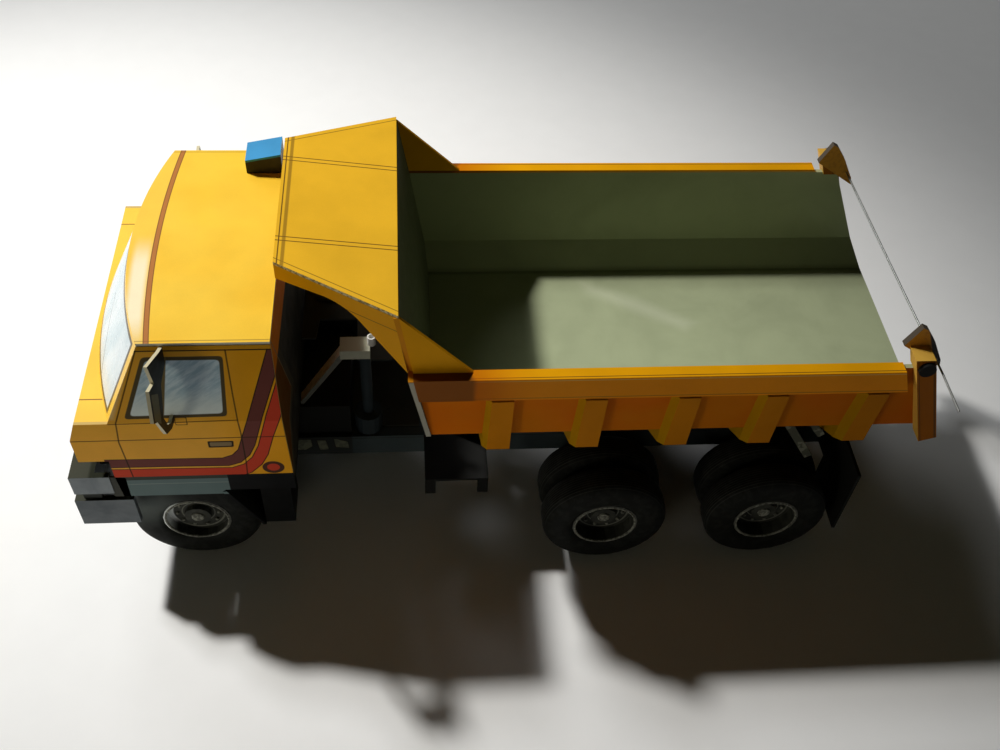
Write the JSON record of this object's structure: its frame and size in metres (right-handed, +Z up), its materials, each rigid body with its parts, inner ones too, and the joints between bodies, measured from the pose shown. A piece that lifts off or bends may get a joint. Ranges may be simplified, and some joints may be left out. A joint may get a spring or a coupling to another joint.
{
  "type": "card model of a dump truck",
  "caption": "Small card model of a forward-control tipper truck with turning wheels and a tipping bed that is open at the rear.",
  "frame": {"origin": "at the middle of the bottom of the whole model's box, on the surface that the tyres stand on", "axes": "+X towards the cab's nose, +Y to the model's left side, +Z up"},
  "size_m": [0.2179, 0.0987, 0.1007],
  "materials": {
    "yellow_card": "printed, satin",
    "bed_board": "printed, matte",
    "bumper_card": "printed, matte",
    "frame_card": "printed, matte",
    "dark_card": "printed, matte",
    "grey_card": "printed, matte",
    "window_card": "printed, satin",
    "lamp_card": "printed, matte",
    "blue_card": "printed, satin",
    "brown_card": "printed, matte",
    "tyre_card": "printed, matte",
    "rim_card": "printed, matte",
    "wire": "drawn"
  },
  "bodies": {
    "chassis": {"backbone_tube": "frame_card", "axle_front": "frame_card", "axle_rear_1": "frame_card", "axle_rear_2": "frame_card", "frame_rail_left": "frame_card", "frame_rail_right": "frame_card", "frame_cross_members": "frame_card", "engine_block": "dark_card", "bed_rest": "dark_card", "hinge_brackets": "dark_card", "hinge_pin": "wire", "cab_side_left": "yellow_card", "cab_side_right": "yellow_card", "cab_roof": "yellow_card", "windscreen": "window_card", "cab_nose": "yellow_card", "cab_back": "dark_card", "cab_floor": "dark_card", "cab_skirt_left": "dark_card", "cab_skirt_right": "dark_card", "cab_steps": "dark_card", "bumper": "bumper_card", "bumper_stays": "bumper_card", "headlamps": "lamp_card", "mirrors": "dark_card", "beacon_base": "dark_card", "beacon_lens": "blue_card", "stack_cup": "frame_card", "stack_tube": "frame_card", "stack_head": "grey_card", "stack_duct": "grey_card", "air_box": "dark_card", "tank_cradles": "dark_card", "mudflaps": "dark_card"},
    "bed": {"bed_floor": "bed_board", "bed_wall_left": "bed_board", "bed_wall_right": "bed_board", "bed_rails": "yellow_card", "bed_ribs": "yellow_card", "bed_front": "bed_board", "canopy": "yellow_card", "canopy_cheeks": "yellow_card", "canopy_gussets": "yellow_card", "bed_sills": "dark_card", "bed_posts": "yellow_card", "hinge_lugs": "brown_card", "post_bosses": "dark_card", "hinge_wire": "wire"},
    "wheel_front_left": {"tyre_front_left": "tyre_card", "rim_front_left": "rim_card"},
    "wheel_front_right": {"tyre_front_right": "tyre_card", "rim_front_right": "rim_card"},
    "wheel_rear_1_left": {"tyre_rear_1_left": "tyre_card", "rim_rear_1_left": "rim_card"},
    "wheel_rear_1_right": {"tyre_rear_1_right": "tyre_card", "rim_rear_1_right": "rim_card"},
    "wheel_rear_2_left": {"tyre_rear_2_left": "tyre_card", "rim_rear_2_left": "rim_card"},
    "wheel_rear_2_right": {"tyre_rear_2_right": "tyre_card", "rim_rear_2_right": "rim_card"}
  },
  "joints": [
    {"name": "bed_tip", "type": "hinge", "parent": "chassis", "child": "bed", "pos_m": [-0.085, 0, 0.042], "axis": [0, -1, 0], "range_deg": [0, 50]},
    {"name": "wheel_front_left_spin", "type": "hinge", "parent": "chassis", "child": "wheel_front_left", "pos_m": [0.0823, 0, 0.017], "axis": [0, 1, 0], "continuous": true},
    {"name": "wheel_front_right_spin", "type": "hinge", "parent": "chassis", "child": "wheel_front_right", "pos_m": [0.0823, 0, 0.017], "axis": [0, 1, 0], "continuous": true},
    {"name": "wheel_rear_1_left_spin", "type": "hinge", "parent": "chassis", "child": "wheel_rear_1_left", "pos_m": [-0.0275, 0, 0.017], "axis": [0, 1, 0], "continuous": true},
    {"name": "wheel_rear_1_right_spin", "type": "hinge", "parent": "chassis", "child": "wheel_rear_1_right", "pos_m": [-0.0275, 0, 0.017], "axis": [0, 1, 0], "continuous": true},
    {"name": "wheel_rear_2_left_spin", "type": "hinge", "parent": "chassis", "child": "wheel_rear_2_left", "pos_m": [-0.0726, 0, 0.017], "axis": [0, 1, 0], "continuous": true},
    {"name": "wheel_rear_2_right_spin", "type": "hinge", "parent": "chassis", "child": "wheel_rear_2_right", "pos_m": [-0.0726, 0, 0.017], "axis": [0, 1, 0], "continuous": true}
  ]
}
